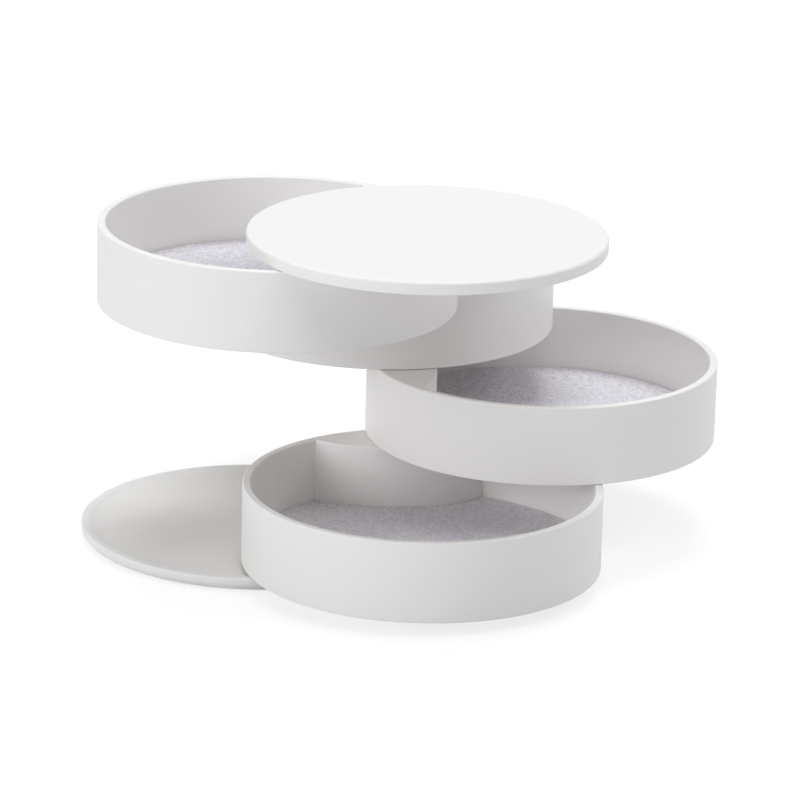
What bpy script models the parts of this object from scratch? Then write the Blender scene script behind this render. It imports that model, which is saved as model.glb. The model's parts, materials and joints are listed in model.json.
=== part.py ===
"""Tiered accessory tray: a lid, four round trays and a shallow base that all swing on one upright pivot.

Blender 4.5, metres, +Z up. The pivot axis is the Z axis and the base's pad rests on the plane z = 0.
Each tier is built with its pivot at the origin and its disc centred at +X, then swung to the angle it
has in the photograph.
"""

import math

import bmesh
import bpy

MM = 0.001

# Driving dimensions: the discs and the stack
DISC_RADIUS = 57.5 * MM
PIVOT_TO_EDGE = 10.4 * MM
TRAY_HEIGHT = 26.0 * MM
LID_THICKNESS = 4.0 * MM
BASE_HEIGHT = 5.0 * MM
TIER_GAP = 0.3 * MM

# Driving dimensions: how far each tier is swung about the pivot, top tray first
LID_SWING_DEG = -81.7
TRAY_SWINGS_DEG = (-149.2, 99.4, 13.9, -80.7)
BASE_SWING_DEG = -167.7

# Clearances
FIT_GAP = 0.3 * MM
FELT_GAP = 0.6 * MM
OVERRUN = 1.0 * MM

# Tray moulding
TRAY_WALL = 2.6 * MM
TRAY_FLOOR = 2.1 * MM
TRAY_RECESS = 1.5 * MM
SKIRT_WIDTH = 3.2 * MM
FLOOR_FILLET = 0.6 * MM
RIM_ROUND = 0.5 * MM
RIM_INNER_ROUND = 0.9 * MM
SKIRT_ROUND = 0.5 * MM

# Lens-shaped pivot housing, the same outline on every moulding
HOUSING_FRONT = 10.4 * MM
HOUSING_FRONT_RADIUS = 42.5 * MM
HOUSING_WALL = 2.2 * MM
HOUSING_ROOF = 2.2 * MM
HOUSING_ROUND = 0.5 * MM
POCKET_REACH = 22.0 * MM
BOSS_RADIUS = 8.8 * MM
RIB_THICKNESS = 1.4 * MM

# Felt liner
FELT_THICKNESS = 1.1 * MM

# Flanged bush
BUSH_WALL = 1.0 * MM
BUSH_LENGTH = 8.0 * MM
FLANGE_RADIUS = 7.0 * MM
FLANGE_THICKNESS = 1.0 * MM

# Pivot shaft and its hexagonal head in the lid
SHAFT_RADIUS = 4.0 * MM
SHAFT_CHAMFER = 0.4 * MM
HEAD_RADIUS = 8.0 * MM
HEAD_THICKNESS = 1.3 * MM

# Lid moulding
LID_RADIUS = 56.8 * MM
LID_ROUND = 1.0 * MM
LID_LOWER_ROUND = 0.4 * MM
LID_RECESS = 1.2 * MM
LID_SKIRT = 3.4 * MM
LID_ROOF = 1.0 * MM

# Base moulding and pad
BASE_RIM_WIDTH = 2.8 * MM
BASE_RIM_ROUND = 0.6 * MM
BASE_LOWER_ROUND = 3.0 * MM
BASE_LIFT = 0.7 * MM
DISH_FLOOR = 1.4 * MM
DISH_LIP = 0.5 * MM
PAD_THICKNESS = 1.0 * MM
PAD_EDGE = 5.1 * MM
NOTCH_EDGE = 1.0 * MM

# Hardware under the base
WEB_THICKNESS = 1.5 * MM
RECESS_RADIUS = 7.0 * MM
SPRING_RADIUS = 6.2 * MM
SPRING_THICKNESS = 0.4 * MM
SPRING_HEIGHT = 0.7 * MM
WASHER_RADIUS = 6.4 * MM
WASHER_THICKNESS = 0.8 * MM
SCREW_RADIUS = 1.8 * MM
SCREW_LENGTH = 10.0 * MM
SCREW_HEAD_RADIUS = 3.6 * MM
SCREW_HEAD_HEIGHT = 0.8 * MM
SCREW_POINT = 0.5 * MM
DRIVE_WIDTH = 0.9 * MM
DRIVE_LENGTH = 3.8 * MM
DRIVE_DEPTH = 0.5 * MM

# Facets
DISC_STEPS = 60
PIVOT_STEPS = 16
FRONT_STEPS = 12
FELT_STEPS = 40
ROUND_STEPS = 2
BASE_ROUND_STEPS = 3
WASHER_STEPS = 24
DISH_STEPS = 4
HEX_SIDES = 6
MERGE_DISTANCE = 0.02 * MM
SHARP_DEG = 35.0
FLAT_DEG = 1.0

# Sizes that follow from the ones above
OFFSET = DISC_RADIUS - PIVOT_TO_EDGE
TRAY_PITCH = TRAY_HEIGHT + TIER_GAP
FRONT_CENTRE = HOUSING_FRONT - HOUSING_FRONT_RADIUS
RUN_RADIUS = SHAFT_RADIUS + FIT_GAP
TRAY_INNER = DISC_RADIUS - TRAY_WALL
FLOOR_TOP = TRAY_RECESS + TRAY_FLOOR
WEB_BOTTOM = BASE_HEIGHT - WEB_THICKNESS
SPRING_TOP = WEB_BOTTOM - FIT_GAP
SPRING_BOTTOM = SPRING_TOP - SPRING_HEIGHT
WASHER_TOP = SPRING_BOTTOM - FIT_GAP
WASHER_BOTTOM = WASHER_TOP - WASHER_THICKNESS
SCREW_TOP = WASHER_BOTTOM - FIT_GAP
PAD_RADIUS = DISC_RADIUS - PAD_EDGE
PAD_CEILING = PAD_THICKNESS + FIT_GAP
LID_BOTTOM = BASE_HEIGHT + TIER_GAP + len(TRAY_SWINGS_DEG) * TRAY_PITCH
LID_TOP = LID_BOTTOM + LID_THICKNESS
HEAD_TOP = LID_TOP - LID_ROOF - FIT_GAP
HEAD_BOTTOM = HEAD_TOP - HEAD_THICKNESS


def clear_scene():
    """Remove every object that the scene holds."""
    for obj in list(bpy.data.objects):
        bpy.data.objects.remove(obj, do_unlink=True)


def make_collection(name):
    """Add a collection to the scene and return it."""
    collection = bpy.data.collections.new(name)
    bpy.context.scene.collection.children.link(collection)
    return collection


def make_material(name, colour, roughness, metallic=0.0):
    """Return a Principled material of one colour."""
    material = bpy.data.materials.new(name)
    material.use_nodes = True
    shader = material.node_tree.nodes["Principled BSDF"]
    shader.inputs["Base Color"].default_value = (*colour, 1.0)
    shader.inputs["Roughness"].default_value = roughness
    shader.inputs["Metallic"].default_value = metallic
    return material


def arc(centre_x, centre_y, radius, start_deg, end_deg, steps):
    """Points along an arc, both ends included, as (x, y) pairs."""
    points = []
    for i in range(steps + 1):
        angle = math.radians(start_deg + (end_deg - start_deg) * i / steps)
        points.append((centre_x + radius * math.cos(angle), centre_y + radius * math.sin(angle)))
    return points


def shade(mesh):
    """Shade a mesh smooth, with its corners kept sharp."""
    mesh.shade_smooth()
    mesh.set_sharp_from_angle(angle=math.radians(SHARP_DEG))


def turned(name, profile, steps, collection):
    """Turn a profile of (radius, height) points about the object's Z axis."""
    mesh = bpy.data.meshes.new(name)
    points = [(radius, 0.0, height) for radius, height in profile]
    closed = profile[0][0] > 0.0
    edges = [(i, i + 1) for i in range(len(points) - 1)]
    if closed:
        edges.append((len(points) - 1, 0))
    mesh.from_pydata(points, edges, [])
    obj = bpy.data.objects.new(name, mesh)
    collection.objects.link(obj)
    screw = obj.modifiers.new("turn", "SCREW")
    screw.axis = "Z"
    screw.angle = math.tau
    screw.steps = steps
    screw.render_steps = steps
    screw.use_merge_vertices = True
    screw.merge_threshold = MERGE_DISTANCE
    return obj


def slab(name, outline, low, high, collection):
    """Make a mesh of a flat outline between two heights, from a filled 2D curve."""
    curve = bpy.data.curves.new(name, "CURVE")
    curve.dimensions = "2D"
    curve.fill_mode = "BOTH"
    curve.extrude = (high - low) / 2
    spline = curve.splines.new("POLY")
    spline.points.add(len(outline) - 1)
    for point, (x, y) in zip(spline.points, outline):
        point.co = (x, y, 0.0, 1.0)
    spline.use_cyclic_u = True
    drawing = bpy.data.objects.new(name, curve)
    collection.objects.link(drawing)
    mesh = evaluated_mesh(drawing)
    bpy.data.objects.remove(drawing, do_unlink=True)
    shape = bmesh.new()
    shape.from_mesh(mesh)
    bmesh.ops.remove_doubles(shape, verts=shape.verts, dist=MERGE_DISTANCE)
    bmesh.ops.translate(shape, verts=shape.verts, vec=(0.0, 0.0, (low + high) / 2))
    bmesh.ops.recalc_face_normals(shape, faces=shape.faces)
    shape.to_mesh(mesh)
    shape.free()
    obj = bpy.data.objects.new(name, mesh)
    collection.objects.link(obj)
    return obj


def cylinder(name, radius, low, high, steps, collection, centre_x=0.0):
    """Make an upright cylinder from Blender's cone operator."""
    mesh = bpy.data.meshes.new(name)
    shape = bmesh.new()
    bmesh.ops.create_cone(
        shape, cap_ends=True, segments=steps, radius1=radius, radius2=radius, depth=high - low
    )
    bmesh.ops.translate(shape, verts=shape.verts, vec=(centre_x, 0.0, (low + high) / 2))
    shape.to_mesh(mesh)
    shape.free()
    obj = bpy.data.objects.new(name, mesh)
    collection.objects.link(obj)
    return obj


def box(name, size, centre, collection):
    """Make a box of a given size about a centre."""
    mesh = bpy.data.meshes.new(name)
    shape = bmesh.new()
    bmesh.ops.create_cube(shape, size=1.0)
    bmesh.ops.scale(shape, verts=shape.verts, vec=size)
    bmesh.ops.translate(shape, verts=shape.verts, vec=centre)
    shape.to_mesh(mesh)
    shape.free()
    obj = bpy.data.objects.new(name, mesh)
    collection.objects.link(obj)
    return obj


def evaluated_mesh(obj):
    """Return a new mesh of the object as its modifiers leave it."""
    graph = bpy.context.evaluated_depsgraph_get()
    return bpy.data.meshes.new_from_object(obj.evaluated_get(graph))


def boolean(obj, other, operation):
    """Join another object to this one, or cut it away, and mark the other as a guide."""
    modifier = obj.modifiers.new(other.name, "BOOLEAN")
    modifier.operation = operation
    modifier.solver = "EXACT"
    modifier.object = other
    other.hide_render = True
    other.display_type = "WIRE"


def frozen(obj):
    """Bake an object's modifiers and place into a mesh about the pivot, then remove the object."""
    bpy.context.view_layer.update()
    mesh = evaluated_mesh(obj)
    mesh.transform(obj.matrix_world)
    shape = bmesh.new()
    shape.from_mesh(mesh)
    bmesh.ops.remove_doubles(shape, verts=shape.verts, dist=MERGE_DISTANCE)
    bmesh.ops.dissolve_degenerate(shape, edges=shape.edges, dist=MERGE_DISTANCE)
    shape.to_mesh(mesh)
    shape.free()
    shade(mesh)
    bpy.data.objects.remove(obj, do_unlink=True)
    return mesh


def make_tier(name, swing_deg, height, collection):
    """Add the empty that a tier's pieces hang on: on the pivot axis, swung to the tier's angle."""
    tier = bpy.data.objects.new(name, None)
    tier.location = (0.0, 0.0, height)
    tier.rotation_euler = (0.0, 0.0, math.radians(swing_deg))
    tier.empty_display_size = PIVOT_TO_EDGE
    collection.objects.link(tier)
    return tier


def place(name, mesh, material, tier, collection, height=0.0):
    """Add a piece to a tier, at a height above the tier's own origin."""
    obj = bpy.data.objects.new(name, mesh)
    collection.objects.link(obj)
    obj.parent = tier
    obj.location = (0.0, 0.0, height)
    if not mesh.materials:
        mesh.materials.append(material)
    return obj


def crossing(front_radius, rear_radius):
    """Half width at which the housing's front arc meets a circle about the disc's centre."""
    distance = OFFSET - FRONT_CENTRE
    along = (front_radius**2 - rear_radius**2 + distance**2) / (2 * distance)
    return math.sqrt(front_radius**2 - along**2)


def lens_outline(front_radius, rear_radius, reach):
    """Outline between the housing's front arc and the disc's rim, cut off at a half width."""
    front_deg = math.degrees(math.asin(reach / front_radius))
    rear_deg = math.degrees(math.asin(reach / rear_radius))
    front = arc(FRONT_CENTRE, 0.0, front_radius, -front_deg, front_deg, FRONT_STEPS)
    rear = arc(OFFSET, 0.0, rear_radius, 180.0 - rear_deg, 180.0 + rear_deg, FRONT_STEPS)
    meets = abs(front[-1][0] - rear[0][0]) < MERGE_DISTANCE
    return front + (rear[1:-1] if meets else rear)


def housing_block(name, low, high, lap_radius, collection):
    """The lens-shaped block that carries the pivot, with the upper edge of its front wall rounded."""
    reach = crossing(HOUSING_FRONT_RADIUS, lap_radius)
    outline = lens_outline(HOUSING_FRONT_RADIUS, lap_radius, reach)
    block = slab(name, outline, low, high, collection)
    shape = bmesh.new()
    shape.from_mesh(block.data)
    bmesh.ops.dissolve_limit(
        shape, angle_limit=math.radians(FLAT_DEG), verts=shape.verts, edges=shape.edges
    )
    front_edges = [
        edge
        for edge in shape.edges
        if all(abs(vert.co.z - high) < MERGE_DISTANCE for vert in edge.verts)
        and all(
            abs(math.hypot(vert.co.x - FRONT_CENTRE, vert.co.y) - HOUSING_FRONT_RADIUS) < MERGE_DISTANCE
            for vert in edge.verts
        )
    ]
    bmesh.ops.bevel(
        shape,
        geom=front_edges,
        offset=HOUSING_ROUND,
        segments=ROUND_STEPS,
        profile=0.5,
        affect="EDGES",
    )
    shape.to_mesh(block.data)
    shape.free()
    return block


def pocket_cutter(cutters):
    """The open pockets under a tray's housing: the lens inside its walls, less the boss and a rib."""
    outline = lens_outline(HOUSING_FRONT_RADIUS - HOUSING_WALL, TRAY_INNER, POCKET_REACH)
    pocket = slab("housing_pockets", outline, -OVERRUN, TRAY_HEIGHT - HOUSING_ROOF, cutters)
    low = -2 * OVERRUN
    high = TRAY_HEIGHT + OVERRUN
    boss = cylinder("boss_guide", BOSS_RADIUS, low, high, WASHER_STEPS, cutters)
    rib_size = (RIB_THICKNESS, 2 * POCKET_REACH + OVERRUN, high - low)
    rib = box("rib_guide", rib_size, (0.0, 0.0, (low + high) / 2), cutters)
    boolean(pocket, boss, "DIFFERENCE")
    boolean(pocket, rib, "DIFFERENCE")
    return pocket


def bush_seat_cutter(cutters):
    """The stepped hole through a tray's boss, with a seat for a flanged bush at each end."""
    flange_radius = FLANGE_RADIUS + FIT_GAP
    flange_depth = FLANGE_THICKNESS + FIT_GAP
    sleeve_radius = RUN_RADIUS + BUSH_WALL + FIT_GAP
    sleeve_depth = FLANGE_THICKNESS + BUSH_LENGTH + FIT_GAP
    waist_radius = RUN_RADIUS + FIT_GAP
    profile = [
        (0.0, TRAY_HEIGHT + OVERRUN),
        (flange_radius, TRAY_HEIGHT + OVERRUN),
        (flange_radius, TRAY_HEIGHT - flange_depth),
        (sleeve_radius, TRAY_HEIGHT - flange_depth),
        (sleeve_radius, TRAY_HEIGHT - sleeve_depth),
        (waist_radius, TRAY_HEIGHT - sleeve_depth),
        (waist_radius, sleeve_depth),
        (sleeve_radius, sleeve_depth),
        (sleeve_radius, flange_depth),
        (flange_radius, flange_depth),
        (flange_radius, -OVERRUN),
        (0.0, -OVERRUN),
    ]
    return turned("bush_seats", profile, PIVOT_STEPS, cutters)


def tray_mesh(parts, cutters):
    """One tray moulding: a straight-walled cup joined to its hollow pivot housing."""
    rim_outer = arc(
        DISC_RADIUS - RIM_ROUND, TRAY_HEIGHT - RIM_ROUND, RIM_ROUND, 90.0, 0.0, ROUND_STEPS
    )
    rim_inner = arc(
        TRAY_INNER + RIM_INNER_ROUND,
        TRAY_HEIGHT - RIM_INNER_ROUND,
        RIM_INNER_ROUND,
        180.0,
        90.0,
        ROUND_STEPS,
    )
    skirt = arc(DISC_RADIUS - SKIRT_ROUND, SKIRT_ROUND, SKIRT_ROUND, 0.0, -90.0, ROUND_STEPS)
    profile = [
        (0.0, FLOOR_TOP),
        (TRAY_INNER - FLOOR_FILLET, FLOOR_TOP),
        (TRAY_INNER, FLOOR_TOP + FLOOR_FILLET),
        *rim_inner,
        *rim_outer,
        *skirt,
        (DISC_RADIUS - SKIRT_WIDTH, 0.0),
        (DISC_RADIUS - SKIRT_WIDTH, TRAY_RECESS),
        (0.0, TRAY_RECESS),
    ]
    cup = turned("tray_cup", profile, DISC_STEPS, parts)
    cup.location = (OFFSET, 0.0, 0.0)
    inner_lap = TRAY_INNER + RIM_INNER_ROUND
    outer_lap = DISC_RADIUS - max(RIM_ROUND, SKIRT_ROUND)
    lap_radius = (inner_lap + outer_lap) / 2
    block = housing_block("tray_housing", 0.0, TRAY_HEIGHT, lap_radius, cutters)
    boolean(cup, block, "UNION")
    boolean(cup, pocket_cutter(cutters), "DIFFERENCE")
    boolean(cup, bush_seat_cutter(cutters), "DIFFERENCE")
    return frozen(cup)


def felt_mesh(parts):
    """A felt liner: a disc less the bite that goes round the housing."""
    rim_radius = TRAY_INNER - FELT_GAP
    bite_radius = HOUSING_FRONT_RADIUS + FIT_GAP
    reach = crossing(bite_radius, rim_radius)
    bite_deg = math.degrees(math.asin(reach / bite_radius))
    corner_x = FRONT_CENTRE + math.sqrt(bite_radius**2 - reach**2)
    corner_deg = math.degrees(math.atan2(reach, corner_x - OFFSET))
    rim = arc(OFFSET, 0.0, rim_radius, -corner_deg, corner_deg, FELT_STEPS)
    bite = arc(FRONT_CENTRE, 0.0, bite_radius, bite_deg, -bite_deg, FRONT_STEPS)
    low = FLOOR_TOP + FIT_GAP
    return frozen(slab("felt", rim + bite[1:-1], low, low + FELT_THICKNESS, parts))


def bush_mesh(parts):
    """A flanged bush, flange upwards, with the flange's face at height zero."""
    outer = RUN_RADIUS + BUSH_WALL
    profile = [
        (RUN_RADIUS, 0.0),
        (FLANGE_RADIUS, 0.0),
        (FLANGE_RADIUS, -FLANGE_THICKNESS),
        (outer, -FLANGE_THICKNESS),
        (outer, -FLANGE_THICKNESS - BUSH_LENGTH),
        (RUN_RADIUS, -FLANGE_THICKNESS - BUSH_LENGTH),
    ]
    return frozen(turned("bush", profile, PIVOT_STEPS, parts))


def lid_mesh(parts, cutters):
    """The lid: a plain disc, hollowed underneath, with a land that traps the shaft's head."""
    upper = arc(
        LID_RADIUS - LID_ROUND, LID_THICKNESS - LID_ROUND, LID_ROUND, 90.0, 0.0, ROUND_STEPS
    )
    lower = arc(
        LID_RADIUS - LID_LOWER_ROUND, LID_LOWER_ROUND, LID_LOWER_ROUND, 0.0, -90.0, ROUND_STEPS
    )
    profile = [
        (0.0, LID_THICKNESS),
        *upper,
        *lower,
        (LID_RADIUS - LID_SKIRT, 0.0),
        (LID_RADIUS - LID_SKIRT, LID_RECESS),
        (0.0, LID_RECESS),
    ]
    disc = turned("lid", profile, DISC_STEPS, parts)
    disc.location = (OFFSET, 0.0, 0.0)
    lap_radius = LID_RADIUS - (LID_SKIRT + LID_LOWER_ROUND) / 2
    land_top = LID_RECESS + (LID_THICKNESS - LID_RECESS) / 2
    reach = crossing(HOUSING_FRONT_RADIUS, lap_radius)
    outline = lens_outline(HOUSING_FRONT_RADIUS, lap_radius, reach)
    land = slab("lid_land", outline, 0.0, land_top, cutters)
    head_low = HEAD_BOTTOM - LID_BOTTOM - FIT_GAP
    head_high = HEAD_TOP - LID_BOTTOM + FIT_GAP
    head_room = cylinder(
        "head_pocket", HEAD_RADIUS + FIT_GAP, head_low, head_high, HEX_SIDES, cutters
    )
    shaft_room = cylinder(
        "lid_shaft_hole", RUN_RADIUS, -OVERRUN, (head_low + head_high) / 2, PIVOT_STEPS, cutters
    )
    boolean(head_room, shaft_room, "UNION")
    boolean(disc, land, "UNION")
    boolean(disc, head_room, "DIFFERENCE")
    return frozen(disc)


def shaft_mesh(parts, cutters):
    """The steel shaft, from its hexagonal head in the lid down to the retaining washer."""
    shaft_bottom = WASHER_TOP + FIT_GAP
    neck = HEAD_BOTTOM + HEAD_THICKNESS / 2
    profile = [
        (0.0, neck),
        (SHAFT_RADIUS, neck),
        (SHAFT_RADIUS, shaft_bottom + SHAFT_CHAMFER),
        (SHAFT_RADIUS - SHAFT_CHAMFER, shaft_bottom),
        (0.0, shaft_bottom),
    ]
    shaft = turned("shaft", profile, PIVOT_STEPS, parts)
    head = cylinder("shaft_head", HEAD_RADIUS, HEAD_BOTTOM, HEAD_TOP, HEX_SIDES, cutters)
    bore_top = SCREW_TOP + SCREW_LENGTH + FIT_GAP
    bore = cylinder(
        "shaft_bore", SCREW_RADIUS + FIT_GAP, shaft_bottom - OVERRUN, bore_top, PIVOT_STEPS, cutters
    )
    boolean(shaft, head, "UNION")
    boolean(shaft, bore, "DIFFERENCE")
    return frozen(shaft)


def base_mesh(parts, cutters):
    """The base: a shallow dish with a pivot land, a recess for the pad and one for the hardware."""
    rim_outer = arc(
        DISC_RADIUS - BASE_RIM_ROUND,
        BASE_HEIGHT - BASE_RIM_ROUND,
        BASE_RIM_ROUND,
        90.0,
        0.0,
        ROUND_STEPS,
    )
    lower = arc(
        DISC_RADIUS - BASE_LOWER_ROUND,
        BASE_LIFT + BASE_LOWER_ROUND,
        BASE_LOWER_ROUND,
        0.0,
        -90.0,
        BASE_ROUND_STEPS,
    )
    lip_radius = DISC_RADIUS - BASE_RIM_WIDTH
    lip_height = BASE_HEIGHT - DISH_LIP
    floor_height = PAD_CEILING + DISH_FLOOR
    depth = lip_height - floor_height
    hollow_radius = (lip_radius**2 + depth**2) / (2 * depth)
    half_deg = math.degrees(math.asin(lip_radius / hollow_radius))
    hollow = arc(0.0, floor_height + hollow_radius, hollow_radius, -90.0, half_deg - 90.0, DISH_STEPS)
    profile = [
        (0.0, floor_height),
        *hollow[1:],
        (lip_radius, BASE_HEIGHT),
        *rim_outer,
        *lower,
        (PAD_RADIUS + FIT_GAP, BASE_LIFT),
        (PAD_RADIUS + FIT_GAP, PAD_CEILING),
        (0.0, PAD_CEILING),
    ]
    dish = turned("dish", profile, DISC_STEPS, parts)
    dish.location = (OFFSET, 0.0, 0.0)
    lap_radius = DISC_RADIUS - (BASE_RIM_WIDTH + BASE_RIM_ROUND) / 2
    land_low = PAD_CEILING + DISH_FLOOR / 2
    land = housing_block("base_land", land_low, BASE_HEIGHT, lap_radius, cutters)
    recess = cylinder(
        "hardware_recess", RECESS_RADIUS, -OVERRUN, WEB_BOTTOM, WASHER_STEPS, cutters
    )
    hole = cylinder(
        "base_shaft_hole", RUN_RADIUS, -2 * OVERRUN, BASE_HEIGHT + OVERRUN, PIVOT_STEPS, cutters
    )
    boolean(dish, land, "UNION")
    boolean(dish, recess, "DIFFERENCE")
    boolean(dish, hole, "DIFFERENCE")
    return frozen(dish)


def pad_mesh(parts, cutters):
    """The non-slip pad, notched so that the screw can be reached."""
    pad = cylinder("pad", PAD_RADIUS, 0.0, PAD_THICKNESS, DISC_STEPS, parts, centre_x=OFFSET)
    notch = cylinder(
        "pad_notch",
        RECESS_RADIUS + NOTCH_EDGE,
        -OVERRUN,
        PAD_THICKNESS + OVERRUN,
        WASHER_STEPS,
        cutters,
    )
    boolean(pad, notch, "DIFFERENCE")
    return frozen(pad)


def spring_washer_mesh(parts):
    """A conical spring washer, high at its bore, that keeps the stack together without play."""
    profile = [
        (RUN_RADIUS, SPRING_TOP),
        (SPRING_RADIUS, SPRING_BOTTOM + SPRING_THICKNESS),
        (SPRING_RADIUS, SPRING_BOTTOM),
        (RUN_RADIUS, SPRING_TOP - SPRING_THICKNESS),
    ]
    return frozen(turned("spring", profile, WASHER_STEPS, parts))


def retaining_washer_mesh(parts):
    """The flat washer that the screw holds against the shaft's end."""
    bore = SCREW_RADIUS + FIT_GAP
    profile = [
        (bore, WASHER_TOP),
        (WASHER_RADIUS, WASHER_TOP),
        (WASHER_RADIUS, WASHER_BOTTOM),
        (bore, WASHER_BOTTOM),
    ]
    return frozen(turned("washer", profile, WASHER_STEPS, parts))


def screw_mesh(parts, cutters):
    """The retaining screw, head down, with a crossed drive in its flat head."""
    head_low = SCREW_TOP - SCREW_HEAD_HEIGHT
    tip = SCREW_TOP + SCREW_LENGTH
    profile = [
        (0.0, tip),
        (SCREW_RADIUS - SCREW_POINT, tip),
        (SCREW_RADIUS, tip - SCREW_POINT),
        (SCREW_RADIUS, SCREW_TOP),
        (SCREW_HEAD_RADIUS, SCREW_TOP),
        (SCREW_HEAD_RADIUS, head_low),
        (0.0, head_low),
    ]
    screw = turned("screw", profile, PIVOT_STEPS, parts)
    slot_centre = (0.0, 0.0, head_low)
    across = box("drive_across", (DRIVE_LENGTH, DRIVE_WIDTH, 2 * DRIVE_DEPTH), slot_centre, cutters)
    along = box("drive_along", (DRIVE_WIDTH, DRIVE_LENGTH, 2 * DRIVE_DEPTH), slot_centre, cutters)
    boolean(across, along, "UNION")
    boolean(screw, across, "DIFFERENCE")
    return frozen(screw)


def build_trays(parts, cutters, plastic, felt, bearing):
    """Place the four trays, each with its liner and its two bushes."""
    shell = tray_mesh(parts, cutters)
    liner = felt_mesh(parts)
    bush = bush_mesh(parts)
    lower_bush = bush.copy()
    shape = bmesh.new()
    shape.from_mesh(lower_bush)
    bmesh.ops.scale(shape, verts=shape.verts, vec=(1.0, 1.0, -1.0))
    bmesh.ops.reverse_faces(shape, faces=shape.faces)
    shape.to_mesh(lower_bush)
    shape.free()
    count = len(TRAY_SWINGS_DEG)
    for i, swing_deg in enumerate(TRAY_SWINGS_DEG):
        number = i + 1
        bottom = BASE_HEIGHT + TIER_GAP + (count - number) * TRAY_PITCH
        tier = make_tier(f"tray_{number}_pivot", swing_deg, bottom, parts)
        place(f"tray_{number}_shell", shell, plastic, tier, parts)
        place(f"tray_{number}_felt", liner, felt, tier, parts)
        place(f"tray_{number}_upper_bush", bush, bearing, tier, parts, TRAY_HEIGHT)
        place(f"tray_{number}_lower_bush", lower_bush, bearing, tier, parts)


def main():
    """Build the whole tray."""
    clear_scene()
    parts = make_collection("tiered_accessory_tray")
    cutters = make_collection("cutters")
    plastic = make_material("white_plastic", (0.86, 0.86, 0.86), 0.3)
    felt = make_material("grey_felt", (0.47, 0.44, 0.48), 0.95)
    bearing = make_material("bearing_plastic", (0.72, 0.72, 0.70), 0.4)
    steel = make_material("steel", (0.62, 0.62, 0.63), 0.28, 1.0)
    rubber = make_material("pad_rubber", (0.28, 0.28, 0.29), 0.8)

    base_tier = make_tier("base_pivot", BASE_SWING_DEG, 0.0, parts)
    place("base_dish", base_mesh(parts, cutters), plastic, base_tier, parts)
    place("base_pad", pad_mesh(parts, cutters), rubber, base_tier, parts)

    build_trays(parts, cutters, plastic, felt, bearing)

    lid_tier = make_tier("lid_pivot", LID_SWING_DEG, 0.0, parts)
    place("lid_disc", lid_mesh(parts, cutters), plastic, lid_tier, parts, LID_BOTTOM)
    place("pivot_shaft", shaft_mesh(parts, cutters), steel, lid_tier, parts)
    place("spring_washer", spring_washer_mesh(parts), steel, lid_tier, parts)
    place("retaining_washer", retaining_washer_mesh(parts), steel, lid_tier, parts)
    place("retaining_screw", screw_mesh(parts, cutters), steel, lid_tier, parts)


main()
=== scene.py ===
"""The look of a tiered accessory tray: fine mouldings, felt liners, finishes, light and camera.

Blender 4.5, metres, +Z up. The pivot is the Z axis and the base's pad rests on the plane z = 0. A tier
is shaped with the pivot at the origin and its disc centred at +X, then turned to the angle that its
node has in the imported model, which this script loads as a fixed frame.
"""

from __future__ import annotations

import json
import logging
import math
from dataclasses import dataclass, field
from enum import Enum
from functools import reduce
from typing import Any

import bmesh
import bpy
from mathutils import Matrix, Vector, noise

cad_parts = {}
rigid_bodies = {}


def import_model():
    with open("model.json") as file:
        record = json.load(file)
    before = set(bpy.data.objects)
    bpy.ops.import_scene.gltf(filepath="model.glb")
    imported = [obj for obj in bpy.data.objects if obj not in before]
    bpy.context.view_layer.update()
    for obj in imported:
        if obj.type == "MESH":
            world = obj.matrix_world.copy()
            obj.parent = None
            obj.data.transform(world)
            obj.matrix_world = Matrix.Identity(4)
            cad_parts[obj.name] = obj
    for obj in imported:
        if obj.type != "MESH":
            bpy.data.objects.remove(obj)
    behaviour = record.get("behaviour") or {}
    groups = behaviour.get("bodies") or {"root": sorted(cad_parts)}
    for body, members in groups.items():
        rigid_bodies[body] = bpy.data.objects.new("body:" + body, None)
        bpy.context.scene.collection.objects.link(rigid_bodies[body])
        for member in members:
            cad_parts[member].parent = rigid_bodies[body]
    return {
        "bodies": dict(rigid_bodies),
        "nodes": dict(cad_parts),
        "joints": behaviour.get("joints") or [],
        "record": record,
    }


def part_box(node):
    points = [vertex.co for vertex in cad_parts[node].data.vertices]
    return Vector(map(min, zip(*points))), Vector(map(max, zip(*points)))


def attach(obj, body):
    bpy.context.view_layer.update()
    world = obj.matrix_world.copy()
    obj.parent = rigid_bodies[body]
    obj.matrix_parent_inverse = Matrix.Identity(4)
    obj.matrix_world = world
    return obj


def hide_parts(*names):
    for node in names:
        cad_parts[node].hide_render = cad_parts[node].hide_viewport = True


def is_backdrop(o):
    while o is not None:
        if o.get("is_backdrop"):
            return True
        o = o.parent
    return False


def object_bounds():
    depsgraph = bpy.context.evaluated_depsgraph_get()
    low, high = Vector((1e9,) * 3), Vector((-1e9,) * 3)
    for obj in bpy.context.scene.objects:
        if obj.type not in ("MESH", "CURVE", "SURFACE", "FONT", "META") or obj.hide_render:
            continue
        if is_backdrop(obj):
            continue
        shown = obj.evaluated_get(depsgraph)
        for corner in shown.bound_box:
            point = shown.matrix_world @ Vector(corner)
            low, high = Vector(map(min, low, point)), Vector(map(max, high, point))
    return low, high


MM = 0.001
WELD = 0.01 * MM
SHARP_DEG = 35.0
# A wave texture of scale 1 goes through this many radians in a unit of length.
WAVE_RATE = 20.0
PATTERN_MEAN = 0.5

Piece = bpy.types.Object
Shape = bmesh.types.BMesh
Ring = list[bmesh.types.BMVert]
Pair = tuple[float, float]
Size = tuple[float, float, float]
Colour = tuple[float, float, float]
log = logging.getLogger("accessory_tray")


class Slot(Enum):
    """The record's material slots."""

    WHITE_PLASTIC = "white_plastic"
    GREY_FELT = "grey_felt"
    BEARING_PLASTIC = "bearing_plastic"
    STEEL = "steel"
    PAD_RUBBER = "pad_rubber"


class Work(Enum):
    """What a tool shape does to a piece."""

    JOIN = "UNION"
    CUT = "DIFFERENCE"


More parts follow.
